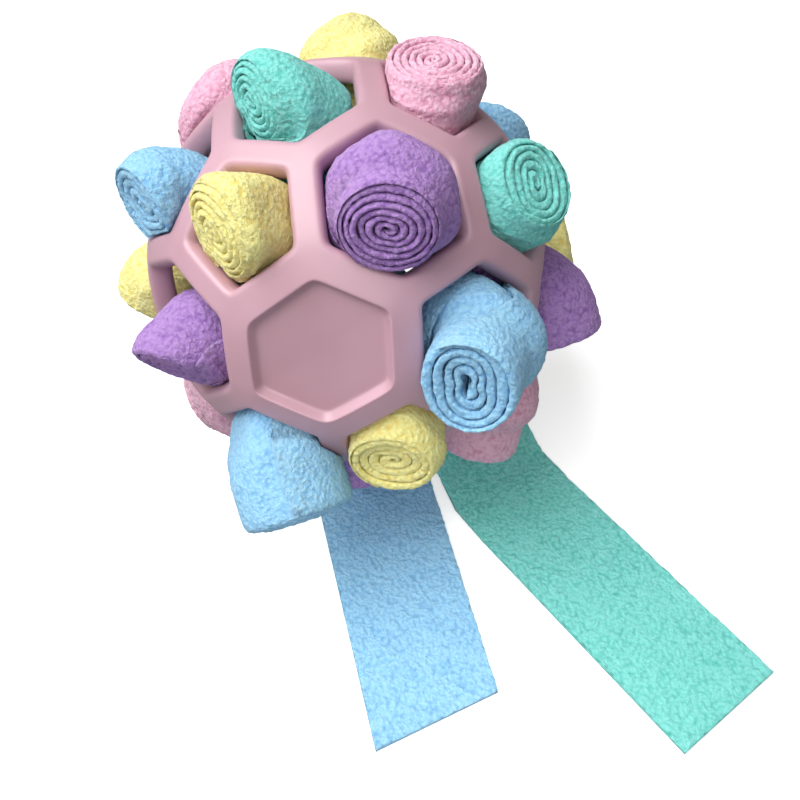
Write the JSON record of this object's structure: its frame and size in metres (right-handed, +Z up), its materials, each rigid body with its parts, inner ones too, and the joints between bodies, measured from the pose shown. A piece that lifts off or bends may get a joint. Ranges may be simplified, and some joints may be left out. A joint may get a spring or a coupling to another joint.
{
  "type": "plush snuffle toy",
  "caption": "Snuffle ball for dogs: a moulded rubber cage ball whose openings hold rolled fleece strips, with strips pulled out flat on the floor beside it.",
  "frame": {"origin": "on the floor under the middle of the ball, on the underside of the blue strip", "axes": "+Z up from the floor, -Y towards the viewer and +X to the viewer's right"},
  "size_m": [0.1996, 0.233, 0.1428],
  "materials": {
    "pink_rubber": "satin moulded rubber",
    "blue_fleece": "matt polyester fleece with a short curly pile",
    "pink_fleece": "matt polyester fleece with a short curly pile",
    "purple_fleece": "matt polyester fleece with a short curly pile",
    "teal_fleece": "matt polyester fleece with a short curly pile",
    "yellow_fleece": "matt polyester fleece with a short curly pile"
  },
  "bodies": {
    "ball": {"ball_frame": "pink_rubber", "strip_teal": "teal_fleece"},
    "roll_02_yellow": {"roll_02_yellow": "yellow_fleece"},
    "roll_03_purple": {"roll_03_purple": "purple_fleece"},
    "roll_04_blue": {"roll_04_blue": "blue_fleece"},
    "roll_05_yellow": {"roll_05_yellow": "yellow_fleece"},
    "roll_06_blue": {"roll_06_blue": "blue_fleece"},
    "roll_07_purple": {"roll_07_purple": "purple_fleece"},
    "roll_08_teal": {"roll_08_teal": "teal_fleece"},
    "roll_09_pink": {"roll_09_pink": "pink_fleece"},
    "roll_10_teal": {"roll_10_teal": "teal_fleece"},
    "roll_11_blue": {"roll_11_blue": "blue_fleece"},
    "roll_12_pink": {"roll_12_pink": "pink_fleece"},
    "roll_13_yellow": {"roll_13_yellow": "yellow_fleece"},
    "roll_14_blue": {"roll_14_blue": "blue_fleece"},
    "roll_15_yellow": {"roll_15_yellow": "yellow_fleece"},
    "roll_16_purple": {"roll_16_purple": "purple_fleece"},
    "roll_17_pink": {"roll_17_pink": "pink_fleece"},
    "roll_18_yellow": {"roll_18_yellow": "yellow_fleece"},
    "roll_19_pink": {"roll_19_pink": "pink_fleece"},
    "roll_20_blue": {"roll_20_blue": "blue_fleece"},
    "roll_21_purple": {"roll_21_purple": "purple_fleece"},
    "roll_22_teal": {"roll_22_teal": "teal_fleece"},
    "roll_24_yellow": {"roll_24_yellow": "yellow_fleece"},
    "roll_25_pink": {"roll_25_pink": "pink_fleece"},
    "strip_blue": {"strip_blue": "blue_fleece"}
  },
  "joints": [
    {"name": "pull_roll_02_yellow", "type": "slide", "parent": "ball", "child": "roll_02_yellow", "axis": [-0.426, -0.5135, 0.7449], "range_m": [0, 0.018]},
    {"name": "pull_roll_03_purple", "type": "slide", "parent": "ball", "child": "roll_03_purple", "axis": [0.2371, -0.4682, 0.8512], "range_m": [0, 0.018]},
    {"name": "pull_roll_04_blue", "type": "slide", "parent": "ball", "child": "roll_04_blue", "axis": [0.6609, -0.715, 0.228], "range_m": [0, 0.018]},
    {"name": "pull_roll_05_yellow", "type": "slide", "parent": "ball", "child": "roll_05_yellow", "axis": [0.2502, -0.9208, -0.2992], "range_m": [0, 0.018]},
    {"name": "pull_roll_06_blue", "type": "slide", "parent": "ball", "child": "roll_06_blue", "axis": [-0.3544, -0.864, -0.3576], "range_m": [0, 0.018]},
    {"name": "pull_roll_07_purple", "type": "slide", "parent": "ball", "child": "roll_07_purple", "axis": [-0.7899, -0.5994, 0.1294], "range_m": [0, 0.018]},
    {"name": "pull_roll_08_teal", "type": "slide", "parent": "ball", "child": "roll_08_teal", "axis": [-0.2258, 0.1229, 0.9664], "range_m": [0, 0.018]},
    {"name": "pull_roll_09_pink", "type": "slide", "parent": "ball", "child": "roll_09_pink", "axis": [0.4089, 0.2315, 0.8827], "range_m": [0, 0.018]},
    {"name": "pull_roll_10_teal", "type": "slide", "parent": "ball", "child": "roll_10_teal", "axis": [0.7993, -0.1414, 0.584], "range_m": [0, 0.018]},
    {"name": "pull_roll_11_blue", "type": "slide", "parent": "ball", "child": "roll_11_blue", "axis": [-0.7913, -0.0594, 0.6086], "range_m": [0, 0.018]},
    {"name": "pull_roll_12_pink", "type": "slide", "parent": "ball", "child": "roll_12_pink", "axis": [-0.6384, 0.5487, 0.5399], "range_m": [0, 0.018]},
    {"name": "pull_roll_13_yellow", "type": "slide", "parent": "ball", "child": "roll_13_yellow", "axis": [0.0224, 0.8212, 0.5702], "range_m": [0, 0.018]},
    {"name": "pull_roll_14_blue", "type": "slide", "parent": "ball", "child": "roll_14_blue", "axis": [0.7476, 0.5739, 0.3344], "range_m": [0, 0.018]},
    {"name": "pull_roll_15_yellow", "type": "slide", "parent": "ball", "child": "roll_15_yellow", "axis": [0.8417, 0.4061, -0.3559], "range_m": [0, 0.018]},
    {"name": "pull_roll_16_purple", "type": "slide", "parent": "ball", "child": "roll_16_purple", "axis": [0.9976, -0.067, 0.0173], "range_m": [0, 0.018]},
    {"name": "pull_roll_17_pink", "type": "slide", "parent": "ball", "child": "roll_17_pink", "axis": [0.7397, -0.3833, -0.5531], "range_m": [0, 0.014]},
    {"name": "pull_roll_18_yellow", "type": "slide", "parent": "ball", "child": "roll_18_yellow", "axis": [-0.9851, 0.1692, -0.0326], "range_m": [0, 0.018]},
    {"name": "pull_roll_19_pink", "type": "slide", "parent": "ball", "child": "roll_19_pink", "axis": [-0.701, -0.3083, -0.6431], "range_m": [0, 0.016]},
    {"name": "pull_roll_20_blue", "type": "slide", "parent": "ball", "child": "roll_20_blue", "axis": [-0.5231, 0.8477, -0.0878], "range_m": [0, 0.018]},
    {"name": "pull_roll_21_purple", "type": "slide", "parent": "ball", "child": "roll_21_purple", "axis": [0.0269, -0.49, -0.8713], "range_m": [-0.001, 0]},
    {"name": "pull_roll_22_teal", "type": "slide", "parent": "ball", "child": "roll_22_teal", "axis": [-0.1669, 0.7155, -0.6784], "range_m": [0, 0.014]},
    {"name": "pull_roll_24_yellow", "type": "slide", "parent": "ball", "child": "roll_24_yellow", "axis": [-0.6918, 0.396, -0.6038], "range_m": [0, 0.018]},
    {"name": "pull_roll_25_pink", "type": "slide", "parent": "ball", "child": "roll_25_pink", "axis": [0.316, 0.9208, -0.2284], "range_m": [0, 0.018]},
    {"name": "pull_strip_blue", "type": "slide", "parent": "ball", "child": "strip_blue", "axis": [0.2419, -0.9703, 0], "range_m": [0, 0.06]}
  ]
}
